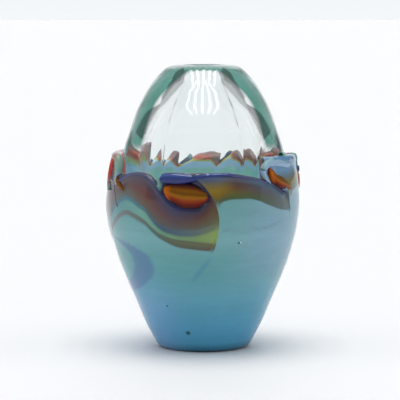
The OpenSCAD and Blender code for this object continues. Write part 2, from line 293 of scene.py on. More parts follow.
def line(k, name, azimuth):
    """Height of one of the lines of wave k's stack."""
    place = place_on(k, azimuth)
    height = LINES[k % COUNT][name](place)
    if k % COUNT >= FIRST_FOLLOWING:
        edge = crown(clamp(azimuth, edge_of(k), start_of(k + 1) - 4.0)) - 0.9
        drawn = LINES[k % COUNT]["lip"](min(place, 0.85))
        share = {"lip": 1.0, "middle": 0.7, "bottom": 0.5}[name]
        height += (edge - drawn) * share * (1.0 - ease((place - 0.9) / 0.8))
    return height


def crown(azimuth):
    """Height of the cup's edge all the way round."""
    return EDGE_HEIGHT(azimuth % FULL_TURN)


# ---------------------------------------------------------------- colours of the glass

# Overlay colour by height in mm; the darker first stops at the foot are a painted contact shadow
BODY = stops((0.0, 28, 84, 98), (1.2, 40, 110, 140), (5, 72, 154, 190), (12, 72, 152, 188),
             (22, 78, 152, 180), (32, 88, 158, 178), (42, 86, 154, 162), (52, 90, 156, 160),
             (62, 112, 168, 174), (76, 98, 158, 158), (95, 106, 162, 162))
BODY_BLUE = shade(112, 160, 206)
BODY_GREY = shade(136, 164, 194)
VEIL = shade(72, 108, 158)
STREAK = shade(44, 120, 160)

# The smoky veil low on the left: azimuth of its two sides at each height
VEIL_LEFT = curve([(31, -104), (35, -82), (38.4, -66), (43.6, -56.4), (47.6, -53), (50.9, -52.6),
                   (54.3, -56.6), (57.4, -64.4), (60.5, -76)])
VEIL_RIGHT = curve([(29, -84), (33.8, -56.7), (38.6, -43.5), (42.3, -37.2), (46.2, -35),
                    (51.5, -36.5), (54.4, -41.5), (57, -49.9), (59.2, -62.1), (61, -78)])

# Faint step where the overlay's second layer ends
SEAM = curve([(8, 67.6), (16, 66.8), (26, 66.4), (36, 67.0), (48, 69.0), (62, 73.0)])
SEAM_GLOW = shade(84, 140, 146)
# Seeds caught in the overlay, and beside the first one a pale dot, a painted highlight on that
# seed: azimuth, height, radius in mm, colour
SEEDS_AND_HIGHLIGHT = [(21.6, 60.2, 0.7, shade(40, 92, 104)), (22.8, 60.4, 0.45, shade(196, 222, 226)),
         (-31.5, 25.6, 0.7, shade(40, 84, 120)), (-15.6, 11.1, 1.3, shade(24, 78, 70))]

# Colours of the stacks and of the inner face. A table has a row of stops for each place along
# the wave; the others are one row, with places along the wave or depths in mm under the edge
PLUM_TABLE = [
    (0.0, stops((0.0, 80, 78, 100), (0.2, 95, 84, 92), (0.45, 98, 78, 80), (0.7, 99, 104, 98),
                (1.0, 94, 116, 120))),
    (0.7, stops((0.0, 66, 70, 100), (0.2, 88, 74, 84), (0.5, 110, 68, 66), (0.8, 110, 88, 76),
                (1.0, 92, 98, 92))),
    (1.3, stops((0.0, 24, 36, 82), (0.25, 62, 58, 82), (0.55, 84, 64, 70), (0.85, 86, 84, 84),
                (1.0, 80, 90, 94))),
    (1.8, stops((0.0, 30, 22, 44), (0.3, 74, 30, 22), (0.55, 92, 66, 42), (0.8, 92, 88, 72),
                (1.0, 94, 104, 80))),
    (2.0, stops((0.0, 56, 40, 44), (0.35, 88, 62, 38), (0.7, 92, 78, 48), (1.0, 96, 104, 60))),
]
MINT_TABLE = stops((0.0, 84, 148, 150), (0.6, 104, 162, 148), (1.1, 96, 144, 112),
                   (1.6, 108, 142, 88), (2.0, 134, 158, 80))
BLUE_TABLE = stops((0.0, 52, 112, 136), (0.6, 62, 112, 124), (1.1, 48, 80, 104), (1.5, 70, 96, 104),
                   (2.0, 98, 110, 74))
UMBER_TABLE = stops((0.0, 102, 112, 116), (0.4, 98, 108, 106), (0.9, 74, 100, 92),
                    (1.3, 74, 86, 68), (2.0, 82, 76, 62))
# In the rows at 0.0 and 0.8, the blue-grey stop at 0.16 under the dark lip line is a painted
# highlight
LEVEL_TABLE = [
    (0.0, stops((0.0, 54, 62, 88), (0.16, 84, 100, 132), (0.36, 122, 112, 84), (0.55, 146, 122, 62),
                (0.75, 128, 106, 50), (0.9, 84, 92, 68), (1.0, 78, 96, 80))),
    (0.3, stops((0.0, 52, 62, 90), (0.16, 88, 84, 100), (0.34, 82, 72, 70), (0.55, 106, 76, 58),
                (0.72, 100, 94, 58), (0.88, 88, 100, 58), (1.0, 82, 104, 74))),
    (0.8, stops((0.0, 56, 64, 82), (0.16, 74, 104, 132), (0.36, 88, 92, 102), (0.6, 92, 90, 90),
                (0.8, 86, 94, 78), (1.0, 84, 100, 86))),
    (1.3, stops((0.0, 60, 76, 90), (0.3, 82, 102, 116), (0.6, 92, 100, 98), (1.0, 88, 108, 108))),
    (2.0, stops((0.0, 70, 88, 100), (0.5, 92, 104, 108), (1.0, 86, 108, 112))),
]
PALE_TABLE = [
    (0.0, stops((0.0, 120, 158, 190), (0.3, 140, 172, 200), (0.5, 112, 130, 140),
                (0.66, 128, 118, 62), (0.82, 104, 112, 84), (1.0, 92, 116, 112))),
    (1.0, stops((0.0, 96, 130, 160), (0.35, 126, 158, 184), (0.6, 104, 112, 100),
                (0.8, 96, 108, 76), (1.0, 92, 116, 112))),
]
INSIDE = stops((0.0, 120, 84, 78), (0.25, 176, 70, 44), (1.1, 170, 52, 36), (1.3, 168, 84, 40),
               (1.5, 160, 160, 60), (2.3, 176, 178, 84), (2.6, 160, 194, 220), (6.5, 158, 192, 222),
               (10, 142, 196, 186), (30, 146, 198, 200))


def table_colour(table, across, along):
    """Colour from rows of ramps, softly mixed along the wave."""
    if along <= table[0][0]:
        return ramp(table[0][1], across)
    for (x0, r0), (x1, r1) in zip(table, table[1:]):
        if along <= x1:
            return ramp(r0, across).lerp(ramp(r1, across), (along - x0) / (x1 - x0))
    return ramp(table[-1][1], across)


def deep(colour):
    """The same colour a little darker and purer, as a thick trail lies in the glass."""
    level = (colour[0] + colour[1] + colour[2]) / 3.0
    return Vector([clamp(0.72 * (level + 1.35 * (c - level))) for c in colour])


def wobble(a, z, size, seed):
    """Smooth random value from -1 to 1 on the wall, for flowing edges."""
    return noise.noise(polar(50.0, a, z) / (size * MM) + Vector((seed, seed * 2.0, 0.0)))


def body_colour(a, z):
    """Colour of the plain overlay, with the veil low on the left and the small streak."""
    colour = ramp(BODY, z).copy()
    leftness = ease((-a - 5.0) / 50.0) if a > -110 else ease((a + 170.0) / 60.0)
    colour = colour.lerp(BODY_BLUE, 0.55 * leftness * ease((48.0 - z) / 26.0))
    if -100 < a < -30 and 26 < z < 63:
        left, right = VEIL_LEFT(z), VEIL_RIGHT(z)
        inside = ease((a - left) / 6.0 + 0.5) * ease((right - a) / 4.5 + 0.5)
        inside *= ease((z - 27.0) / 7.0) * ease((62.0 - z) / 2.0)
        colour = colour.lerp(VEIL, 0.68 * inside)
    rightness = ease((a - 4.0) / 46.0) * ease((170.0 - a) / 70.0)
    colour = colour.lerp(BODY_GREY, 0.5 * rightness * ease((z - 28.0) / 26.0))
    wisp = hump(a - 1.6 + 0.95 * (49.5 - z), 1.8) * ease((z - 38.0) / 4.0) * ease((54.0 - z) / 5.0)
    colour = colour.lerp(STREAK, 0.42 * wisp)
    if 8 < a < 62:
        seam = hump(z - SEAM(a), 0.8) * ease((a - 8.0) / 4.0) * ease((62.0 - a) / 20.0)
        colour = colour * (1.0 - 0.16 * seam)
        colour = colour.lerp(SEAM_GLOW, 0.10 * ease((z - SEAM(a)) / 0.8) * ease((60.0 - a) / 30.0))
    return colour


def under_next_roll(k, p, above, stack):
    """Colour of the glass above a lip line, where the next wave's roll covers it."""
    hidden = PALE_BLUE
    if WAVES[(k + 1) % COUNT].roll is not HIGH_ROLL:
        hidden = MINT.lerp(NAVY, ease((p - 1.02) / 0.06)).lerp(stack, ease((p - 1.64) / 0.28))
    return stack.lerp(hidden, ease((above - 0.4) / 1.8) * ease((p - 0.93) / 0.05))


def skin_colour(k, a, z):
    """Colour of the outside of the overlay, for the sheet of wave k."""
    p = place_on(k, a)
    lip = line(k, "lip", a)
    middle = line(k, "middle", a) + 0.35 * wobble(a, z, 9, 3.1)
    bottom = line(k, "bottom", a) + 0.3 * wobble(a, z, 11, 7.7)
    body = body_colour(a if a < 180 else a - FULL_TURN, z)
    across = clamp((lip - z) / (lip - middle))
    if WAVES[k % COUNT].stack is LEVEL_STACK:
        across = clamp((lip + 0.8 - z) / (lip + 0.8 - bottom))
        table = PALE_TABLE if WAVES[k % COUNT].roll is HIGH_ROLL else LEVEL_TABLE
        stack = deep(table_colour(table, across, p))
        stack = under_next_roll(k, p, z - lip, stack)
        return stack.lerp(body, ease((bottom + 0.2 - z) / 0.7))
    blue_half = mix(1.0, 1.7, ease(p - 0.5))
    umber_half = mix(1.5, 2.4, ease((p - 0.95) / 0.5))
    stack = under_next_roll(k, p, z - lip, deep(table_colour(PLUM_TABLE, across, p)))
    blue = ramp(BLUE_TABLE, p)
    mint = ramp(MINT_TABLE, p)
    umber = ramp(UMBER_TABLE, p)
    umber = umber.lerp(OLIVE, 0.5 * hump(z - bottom - 0.4, 0.9) * ease((p - 1.0) / 0.5))
    stack = stack.lerp(blue, ease((middle + blue_half - z) / 1.2))
    stack = stack.lerp(mint, ease((middle - blue_half * 0.8 - z) / 1.6))
    stack = stack.lerp(umber, ease((bottom + umber_half - z) / 0.9))
    return stack.lerp(body, ease((bottom - umber_half + 0.4 - z) / 0.8))


def inside_colour(a, z):
    """Colour of the inner face: bands that follow the crown, wider where it stands high."""
    depth = crown(a) + 1.0 - z + 0.3 * wobble(a, z, 12, 1.3)
    spread = mix(1.0, 3.0, ease((crown(a) - 96.0) / 4.0))
    return ramp(INSIDE, depth / spread)


# ---------------------------------------------------------------- materials

WHITE = (1.0, 1.0, 1.0, 1.0)
GLASS_IOR = 1.5
# The streaks run round the vase: noise cells per metre across, in depth and upward
FLOW_SCALE = (60.0, 60.0, 420.0)
CLOUD_SCALE = 55.0
CORD_SCALE = 45.0
# The clear glass by how edge on it is seen, from the window to the outline
DEPTH_TINT = [(0.37, (1.0, 1.0, 1.0)), (0.43, (0.016, 0.12, 0.08)), (0.56, (0.02, 0.135, 0.098)),
              (0.72, (0.07, 0.19, 0.16)), (0.93, (0.26, 0.36, 0.34))]
SHOULDER_TURN = 0.07
DEPTH_COLOUR = (0.0, 0.42, 0.36, 1.0)
DEPTH_DENSITY = 5.5
# Strength of the painted glow on the cup's inner face
PAINTED_WALL_GLOW = 0.3


def new_material(name):
    material = bpy.data.materials.new(name)
    material.use_nodes = True
    tree = material.node_tree
    return material, tree, tree.nodes["Principled BSDF"]


def connect(tree, socket, value):
    """Gives a socket a link, a number or a colour."""
    if isinstance(value, bpy.types.NodeSocket):
        tree.links.new(value, socket)
    else:
        socket.default_value = value


def math_node(tree, operation, *values):
    node = tree.nodes.new("ShaderNodeMath")
    node.operation = operation
    for socket, value in zip(node.inputs, values):
        connect(tree, socket, value)
    return node.outputs[0]


def scaled_colour(tree, colour, factor):
    node = tree.nodes.new("ShaderNodeVectorMath")
    node.operation = "SCALE"
    tree.links.new(colour, node.inputs[0])
    tree.links.new(factor, node.inputs["Scale"])
    return node.outputs[0]


def mixed_colour(tree, factor, first, second):
    node = tree.nodes.new("ShaderNodeMix")
    node.data_type = "RGBA"
    for name, value in (("Factor", factor), ("A", first), ("B", second)):
        connect(tree, node.inputs[name], value)
    return node.outputs["Result"]


def soft_step(tree, value, low, high):
    """0 below low and 1 above high, with a smooth change between."""
    node = tree.nodes.new("ShaderNodeMapRange")
    node.interpolation_type = "SMOOTHSTEP"
    tree.links.new(value, node.inputs["Value"])
    node.inputs["From Min"].default_value = low
    node.inputs["From Max"].default_value = high
    return node.outputs["Result"]


def noise_node(tree, place, scale, detail, distortion):
    node = tree.nodes.new("ShaderNodeTexNoise")
    node.inputs["Scale"].default_value = scale
    node.inputs["Detail"].default_value = detail
    node.inputs["Distortion"].default_value = distortion
    tree.links.new(place, node.inputs["Vector"])
    return node.outputs["Fac"]


def attribute_node(tree, name, output):
    node = tree.nodes.new("ShaderNodeAttribute")
    node.attribute_name = name
    return node.outputs[output]


def object_place(tree):
    return tree.nodes.new("ShaderNodeTexCoord").outputs["Object"]


def add_bump(tree, shader, height, strength, distance):
    bump = tree.nodes.new("ShaderNodeBump")
    bump.inputs["Strength"].default_value = strength
    bump.inputs["Distance"].default_value = distance * MM
    tree.links.new(height, bump.inputs["Height"])
    tree.links.new(bump.outputs["Normal"], shader.inputs["Normal"])


def flowing_glass_group():
    """Fine streaks and clouds in coloured glass: takes the trail colour, gives it back varied."""
    tree = bpy.data.node_groups.new("flowing_glass", "ShaderNodeTree")
    for name, way, kind in (("Colour", "INPUT", "NodeSocketColor"),
                            ("Streaks", "INPUT", "NodeSocketFloat"),
                            ("Clouds", "INPUT", "NodeSocketFloat"),
                            ("Colour", "OUTPUT", "NodeSocketColor"),
                            ("Height", "OUTPUT", "NodeSocketFloat")):
        tree.interface.new_socket(name, in_out=way, socket_type=kind)
    given = tree.nodes.new("NodeGroupInput")
    result = tree.nodes.new("NodeGroupOutput")
    place = object_place(tree)
    flow = tree.nodes.new("ShaderNodeMapping")
    flow.inputs["Scale"].default_value = FLOW_SCALE
    tree.links.new(place, flow.inputs["Vector"])
    streak = noise_node(tree, flow.outputs["Vector"], 1.0, 4.0, 0.6)
    cloud = noise_node(tree, place, CLOUD_SCALE, 3.0, 0.4)

    def swing(source, amount):
        """Brightness factor round 1 that follows a noise."""
        return math_node(tree, "MULTIPLY_ADD", math_node(tree, "SUBTRACT", source, 0.5), amount, 1.0)

    both = math_node(tree, "MULTIPLY", swing(streak, given.outputs["Streaks"]),
                     swing(cloud, given.outputs["Clouds"]))
    tree.links.new(scaled_colour(tree, given.outputs["Colour"], both), result.inputs["Colour"])
    tree.links.new(cloud, result.inputs["Height"])
    return tree


FLOWING_GLASS = flowing_glass_group()


def with_spot(tree, colour, centre, radius, tone):
    """Colour with a small round spot of another colour, for a seed in the glass and for the painted
    highlight on one.
    """
    away = tree.nodes.new("ShaderNodeVectorMath")
    away.operation = "DISTANCE"
    away.inputs[1].default_value = centre
    tree.links.new(object_place(tree), away.inputs[0])
    spot = soft_step(tree, away.outputs["Value"], radius * 1.3, radius * 0.5)
    return mixed_colour(tree, spot, colour, (*tone, 1.0))


def coloured_glass(name, streaks, clouds, roughness, gloss=0.5, through=0.0, seeds_and_highlight=()):
    """Opaque art glass whose trails are laid down in the piece's own tint attribute. Where the
    through attribute is set, the face has a painted glow: it emits its own colour faintly, in
    place of daylight coming through the thin wall."""
    material, tree, shader = new_material(name)
    glass = tree.nodes.new("ShaderNodeGroup")
    glass.node_tree = FLOWING_GLASS
    glass.inputs["Streaks"].default_value = streaks
    glass.inputs["Clouds"].default_value = clouds
    tree.links.new(attribute_node(tree, "tint", "Color"), glass.inputs["Colour"])
    colour = glass.outputs["Colour"]
    # Seeds, and the painted highlight beside the first of them
    for azimuth, height, radius, tone in seeds_and_highlight:
        centre = polar(CUP_RADIUS(height), azimuth, height)
        colour = with_spot(tree, colour, centre, radius * MM, tone)
    tree.links.new(colour, shader.inputs["Base Color"])
    # Painted glow: where the through attribute is set, the face emits its own colour faintly
    if through:
        light = attribute_node(tree, "through", "Fac")
        tree.links.new(scaled_colour(tree, colour, light), shader.inputs["Emission Color"])
        shader.inputs["Emission Strength"].default_value = through
    shader.inputs["Roughness"].default_value = roughness
    shader.inputs["Specular IOR Level"].default_value = gloss
    shader.inputs["IOR"].default_value = GLASS_IOR
    add_bump(tree, shader, glass.outputs["Height"], 0.12, 0.4)
    return material


def clear_glass(name):
    """Thick clear glass: its thickness turns bottle green where it is seen edge on."""
    material, tree, shader = new_material(name)
    facing = tree.nodes.new("ShaderNodeLayerWeight")
    facing.inputs["Blend"].default_value = 0.5
    edge_on = math_node(tree, "MULTIPLY_ADD", attribute_node(tree, "shoulder", "Fac"),
                        SHOULDER_TURN, facing.outputs["Facing"])
    depth_tint = tree.nodes.new("ShaderNodeValToRGB")
    elements = depth_tint.color_ramp.elements
    ends = (DEPTH_TINT[0], DEPTH_TINT[-1])
    for stop, (place, colour) in zip(elements, ends):
        stop.position = place
        stop.color = (*colour, 1.0)
    for place, colour in DEPTH_TINT[1:-1]:
        elements.new(place).color = (*colour, 1.0)
    tree.links.new(edge_on, depth_tint.inputs["Fac"])
    tint = mixed_colour(tree, attribute_node(tree, "outside", "Fac"), WHITE,
                        depth_tint.outputs["Color"])
    tree.links.new(tint, shader.inputs["Base Color"])
    add_bump(tree, shader, noise_node(tree, object_place(tree), CORD_SCALE, 2.0, 0.0), 0.05, 0.3)
    shader.inputs["Roughness"].default_value = 0.0
    shader.inputs["IOR"].default_value = GLASS_IOR
    shader.inputs["Transmission Weight"].default_value = 1.0
    depth = tree.nodes.new("ShaderNodeVolumeAbsorption")
    depth.inputs["Color"].default_value = DEPTH_COLOUR
    depth.inputs["Density"].default_value = DEPTH_DENSITY
    tree.links.new(depth.outputs["Volume"], tree.nodes["Material Output"].inputs["Volume"])
    return material


SKIN_GLASS = coloured_glass("silver_teal_overlay", 0.16, 0.10, 0.07,
                            through=PAINTED_WALL_GLOW, seeds_and_highlight=SEEDS_AND_HIGHLIGHT)
ROLL_GLASS = coloured_glass("rolled_lip_glass", 0.22, 0.12, 0.05)
FOLD_GLASS = coloured_glass("amber_fold_glass", 0.55, 0.30, 0.05, gloss=0.15)
CLEAR_GLASS = clear_glass("clear_green_glass")


# ---------------------------------------------------------------- mesh tools

def finished(name, mesh, material, nodes):
    """Turns a bmesh into a piece of the vase that stands for the given parts."""
    bmesh.ops.recalc_face_normals(mesh, faces=mesh.faces)
    data = bpy.data.meshes.new(name)
    mesh.to_mesh(data)
    mesh.free()
    for face in data.polygons:
        face.use_smooth = True
    data.materials.append(material)
    piece = bpy.data.objects.new(name, data)
    bpy.context.scene.collection.objects.link(piece)
    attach(piece, "root")
    if nodes:
        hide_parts(*nodes)
    return piece


def spun(points, steps):
    """Surface of revolution from a row of (radius, height) points; each keeps its row number."""
    mesh = bmesh.new()
    row = mesh.verts.layers.float.new("row")
    chain = []
    for number, (radius, height) in enumerate(points):
        corner = mesh.verts.new((0.0, -radius * MM, height * MM))
        corner[row] = number
        chain.append(corner)
    edges = [mesh.edges.new(pair) for pair in zip(chain, chain[1:])]
    bmesh.ops.spin(mesh, geom=chain + edges, cent=(0, 0, 0), axis=(0, 0, 1), dvec=(0, 0, 0),
                   angle=math.tau, steps=steps, use_merge=True, use_duplicate=False)
    return mesh, row


def paint(mesh, colour_of):
    """Lays the tint down on every corner of every face."""
    tint = mesh.loops.layers.float_color.new("tint")
    for face in mesh.faces:
        for corner, colour in zip(face.loops, colour_of(face)):
            corner[tint] = (colour[0], colour[1], colour[2], 1.0)


# ---------------------------------------------------------------- the clear bubble

WALL_BOTTOM = 4.4
WALL_LEVELS = [5 + 3.4 * i for i in range(25)]
# How far the clear wall is sunk into the cup's, so that the two are fused
WALL_SUNK = 0.45
WALL_SEGMENTS = 240
MERGE = 0.01
# Heights where the mould ribs begin and end, the length of their fading and their sharpness
RIB_FROM = 29.0
RIB_TO = 122.0
RIB_FADE = 16.0
RIB_SHARPNESS = 3.4
SHOULDER_FROM = 130.0
OUTSIDE_FROM = 104.0


def clear_bubble():
    """Clear wall with the bubble, its mould ribs and the mouth, set a little into the cup."""
    outside = [(0.0, WALL_BOTTOM),
               (CUP_RADIUS(WALL_BOTTOM) - CUP_WALL(WALL_BOTTOM) - 0.5, WALL_BOTTOM)]
    outside += [(CUP_RADIUS(z) - CUP_WALL(z) + WALL_SUNK, z) for z in WALL_LEVELS]
    dome = smoothed([(outside[-1][0], outside[-1][1] + 3.0)] + DOME_OUTLINE, 5)
    bubble = smoothed(BUBBLE_OUTLINE, 4)
    outline = outside + dome + bubble + [(0.0, BUBBLE_FLOOR)]
    first_inside = len(outside) + len(dome) - 8
    mesh, row = spun(outline, WALL_SEGMENTS)
    bmesh.ops.remove_doubles(mesh, verts=mesh.verts, dist=MERGE * MM)
    for corner in mesh.verts:
        height = corner.co.z / MM
        if corner[row] < first_inside:
            continue
        azimuth = azimuth_of(corner.co)
        radius = math.hypot(corner.co.x, corner.co.y) / MM
        strength = ease((height - RIB_FROM) / RIB_FADE)
        strength *= 1.0 - ease((height - RIB_TO) / RIB_FADE)
        crease = 1.0 - abs(math.sin(math.radians((azimuth - FIRST_RIB) * RIB_COUNT / 2.0)))
        radius -= RIB_HEIGHT * strength * crease ** RIB_SHARPNESS
        shift = BUBBLE_SHIFT * ease((corner[row] - first_inside) / 7.0)
        corner.co = polar(radius, azimuth, height)
        corner.co.x -= shift * MM
    outside = mesh.verts.layers.float.new("outside")
    shoulder = mesh.verts.layers.float.new("shoulder")
    for corner in mesh.verts:
        corner[shoulder] = ease((corner.co.z / MM - SHOULDER_FROM) / 9.0)
        corner[outside] = ((1.0 - ease((corner[row] - first_inside + 3.0) / 4.0))
                           * ease((corner.co.z / MM - OUTSIDE_FROM) / 5.0))
    return finished("clear_bubble", mesh, CLEAR_GLASS,
                    ["inner_gather", "clear_casing"])


# ---------------------------------------------------------------- the overlay cup

COLUMNS = 600
LOW_TOP = 50.0
FOOT_ROWS = [(0.0, 0.8), (6.0, 0.6), (10.5, 0.25), (12.3, 0.0), (18.0, 0.0), (22.0, 0.0)]
LOW_LEVELS = [0.3, 0.8, 1.6, 2.8] + [4.0 + 0.92 * i for i in range(50)]
# Rows between neighbouring lines of the stack, from the top of the plain body to the crown, and
# the degrees on either side of a free edge over which two sheets come to share their rows
STACK_ROWS = [18, 8, 9, 14, 12]
ROWS_MEET = 2.4
CREST_ROWS = 6
INNER_ROWS = 26
INNER_BOTTOM = 55.0
FIRST_STACK = len(FOOT_ROWS) + len(LOW_LEVELS)
BREAKS = [FIRST_STACK + sum(STACK_ROWS[:part]) for part in range(len(STACK_ROWS) + 1)]
FIRST_CREST = BREAKS[-1]
FIRST_INNER = FIRST_CREST + CREST_ROWS
ROW_TOTAL = FIRST_INNER + INNER_ROWS + 2
# Where the sheet of the left wave begins when the vase is walked round once
ROUND_FROM = sheet_edge(0) - 4.0

# How far the curl of a free edge carries its neighbours along, in degrees on either side
BEND_LEFT = 26.0
BEND_RIGHT = 22.0
# Relief of the skin in mm: the ridge along a lip, the free edge's step, how deep a sheet dives
# under the next one, and how deep the glass behind a lip line sinks
LIP_RIDGE = 0.45
EDGE_STEP = 0.95
DIVE = 0.35
SINK = 1.3


def bend(z):
    """How far the free edges of the sheets curl back, in degrees, at a height."""
    if z > 71.0:
        return max(-16.0, -0.024 * (z - 71.0) ** 2 - 0.0016 * max(0.0, z - 84.0) ** 3)
    return max(-3.0, -0.013 * (71.0 - z) ** 2) * ease((z - 44.0) / 8.0)


def bent(column_azimuth, z):
    """Azimuth of a column of the skin at a height: the columns follow the free edges."""
    azimuth = column_azimuth
    for k in range(-1, COUNT + 1):
        away = column_azimuth - sheet_edge(k)
        reach = away / (BEND_LEFT if away < 0.0 else BEND_RIGHT)
        if abs(reach) < 1.0:
            azimuth += bend(z) * (1.0 - reach * reach) ** 2
    return azimuth


def relief(k, a, z):
    """How far the skin stands out from the plain outline."""
    p = place_on(k, a)
    lip = line(k, "lip", a)
    bottom = line(k, "bottom", a)
    stands = LIP_RIDGE * hump(z - lip, 1.6)
    in_stack = ease((z - bottom + 5.0) / 6.0)
    stands += EDGE_STEP * in_stack * math.exp(-max(0.0, a - sheet_edge(k)) / 7.0)
    stands -= DIVE * in_stack * ease((p - 1.5) / 0.4)
    if p > 0.9:
        behind = ease((p - 0.9) / 0.1) * ease((1.99 - p) / 0.3)
        stands -= SINK * ease((z - lip - 0.8) / 2.0) * behind
    return stands + 0.16 * wobble(a, z, 26, 5.2) + 0.05 * wobble(a, z, 9, 2.2)


def own_lines(k, a):
    """Heights that part the rows of wave k's stack."""
    return Vector((line(k, "bottom", a) - 1.5, line(k, "bottom", a) + 1.5,
                   line(k, "middle", a), line(k, "lip", a) - 1.2))


def stack_height(k, a, n):
    """Height of row n; neighbouring sheets share their rows where one ends on the other."""
    past = a - sheet_edge(k)
    left = sheet_edge(k + 1) - a
    lines = own_lines(k, a)
    lines = lines.lerp(own_lines(k - 1, a), 0.5 * (1.0 - ease(past / ROWS_MEET)))
    lines = lines.lerp(own_lines(k + 1, a), 0.5 * (1.0 - ease(left / ROWS_MEET)))
    lines = [LOW_TOP] + list(lines) + [crown(a)]
    part = bisect.bisect_right(BREAKS, n) - 1
    return mix(lines[part], lines[part + 1], (n - BREAKS[part] + 1) / STACK_ROWS[part])


def skin_place(n, column):
    """Where the corner in row n of a column belongs."""
    k = wave_at(column + 0.01)
    if n < len(FOOT_ROWS):
        radius, height = FOOT_ROWS[n]
        return polar(radius, column, height)
    if n < FIRST_STACK:
        height = LOW_LEVELS[n - len(FOOT_ROWS)]
        a = bent(column, height)
        return polar(CUP_RADIUS(height) + relief(k, a, height) * ease(height / 8.0), a, height)
    if n < FIRST_CREST:
        height = stack_height(k, column, n)
        radius = CUP_RADIUS(height) + relief(k, column, height)
        return polar(radius, bent(column, height), height)
    top = crown(column)
    if n < FIRST_INNER:
        turn = math.pi * (n - FIRST_CREST + 1) / (CREST_ROWS + 1)
        outer = CUP_RADIUS(top) + relief(k, column, top)
        inner = CUP_RADIUS(top) - CUP_WALL(top)
        height = top + 1.5 * math.sin(turn)
        radius = mix(inner, outer, 0.5 + 0.5 * math.cos(turn))
        return polar(radius, bent(column, height), height)
    if n < ROW_TOTAL - 2:
        height = mix(top, INNER_BOTTOM, ((n - FIRST_INNER) / (INNER_ROWS - 1)) ** 1.6)
        return polar(CUP_RADIUS(height) - CUP_WALL(height), bent(column, height), height)
    if n == ROW_TOTAL - 2:
        return polar(CUP_RADIUS(INNER_BOTTOM - 4) - CUP_WALL(50.0), column, INNER_BOTTOM - 4)
    return Vector((0.0, 0.0, (INNER_BOTTOM - 6) * MM))


def skin_tints(face, row):
    """Colours of a face's corners. The whole face belongs to one sheet."""
    numbers = [round(v[row]) for v in face.verts]
    azimuths = [azimuth_of(v.co) for v in face.verts]
    if max(azimuths) - min(azimuths) > 180.0:
        azimuths = [a + FULL_TURN if a < 0 else a for a in azimuths]
    centre = sum(azimuths) / len(azimuths)
    z_mean = sum(v.co.z for v in face.verts) / len(face.verts) / MM
    shift = FULL_TURN if centre < ROUND_FROM else 0.0
    k = wave_at_bent(centre + shift, z_mean)
    result = []
    for v, a in zip(face.verts, azimuths):
        z = v.co.z / MM
        a = a + shift
        if min(numbers) >= FIRST_CREST + 2:
            result.append(inside_colour(a, z))
        elif max(numbers) < FIRST_STACK:
            result.append(body_colour(a if a < 180 else a - FULL_TURN, z))
        else:
            result.append(skin_colour(k, clamp(a, sheet_edge(k) - 8, edge_of(k + 1)), z))
    return result


def overlay_skin():
    """The opaque cup in one skin: foot, body, the overlapping sheets, crest and inner face."""
    ends = (0, ROW_TOTAL - 1)
    # Straight stand-in outline; every row goes to its true place below
    start = [(0.0 if n in ends else 10.0 + 0.1 * n, 0.5 * n) for n in range(ROW_TOTAL)]
    mesh, row = spun(start, COLUMNS)
    bmesh.ops.remove_doubles(mesh, verts=mesh.verts, dist=MERGE * MM)
    step = FULL_TURN / COLUMNS
    for corner in mesh.verts:
        n = round(corner[row])
        column = 0.0 if n in ends else round(azimuth_of(corner.co) / step) * step
        if column < ROUND_FROM:
            column += FULL_TURN
        corner.co = skin_place(n, column)
    # The inner face's rows are marked for the painted glow of the skin's material
    through = mesh.verts.layers.float.new("through")
    for corner in mesh.verts:
        corner[through] = 1.0 if corner[row] > FIRST_CREST + 2.5 else 0.0
    mesh.normal_update()
    paint(mesh, lambda face: skin_tints(face, row))
    nodes = ["overlay_cup", "overlay_lining", "plum_veil", "blue_streak"]
    for wave in WAVES:
        nodes += [wave.name + part for part in ("_plum_band", "_blue_trail", "_lime_band")]
    return finished("overlay_skin", mesh, SKIN_GLASS, nodes)


def wave_at_bent(azimuth, z):
    """Wave at a true azimuth, allowing for the curl of the free edges."""
    for k in range(-1, COUNT + 1):
        if sheet_edge(k) + bend(z) <= azimuth < sheet_edge(k + 1) + bend(z):
            return k
    return COUNT


# ---------------------------------------------------------------- rolled lips

RING = 18


def swept(mesh, corners, steps, set_ring):
    """Skin through a row of closed rings, placed one after another; gives its two end caps."""
    ring = bmesh.ops.create_circle(mesh, cap_ends=False, segments=corners, radius=MM)["verts"]
    edges = list(mesh.edges)
    set_ring(ring, 0)
    caps = [mesh.faces.new(ring)]
    for i in range(1, steps + 1):
        grown = bmesh.ops.extrude_edge_only(mesh, edges=edges)["geom"]
        verts = {g for g in grown if isinstance(g, bmesh.types.BMVert)}
        edges = [g for g in grown if isinstance(g, bmesh.types.BMEdge)]
        ring = [next(w for e in v.link_edges for w in e.verts if w in verts) for v in ring]
        set_ring(ring, i)
    caps.append(mesh.faces.new(ring))
    return caps


def tube(name, stations, colour_of, material, nodes):
    """Round-ended tube laid along the wall. A station is azimuth, height, half height,
    half depth and the radius of its middle, all in drawing units."""
    centres = [polar(s[4], s[0], s[1]) for s in stations]
    mesh = bmesh.new()
    along = mesh.verts.layers.float.new("along")
    around = mesh.verts.layers.float.new("around")
    last = len(stations) - 1

    def set_ring(verts, i):
        ahead = centres[min(i + 1, last)] - centres[max(i - 1, 0)]
        out = Vector((centres[i].x, centres[i].y, 0.0)).normalized()
        across = ahead.normalized().cross(out).normalized()
        if across.z < 0.0 and abs(across.z) > 0.3:
            across = -across
        for j, v in enumerate(verts):
            turn = math.tau * j / RING
            v.co = (centres[i] + out * math.cos(turn) * stations[i][3] * MM
                    + across * math.sin(turn) * stations[i][2] * MM)
            v[along] = i / last
            v[around] = j / RING

    caps = swept(mesh, RING, last, set_ring)
    bmesh.ops.inset_region(mesh, faces=caps, thickness=0.2 * MM, depth=0.15 * MM)
    mesh.normal_update()
    paint(mesh, lambda face: [colour_of(v[along], v[around]) for v in face.verts])
    return finished(name, mesh, material, nodes)


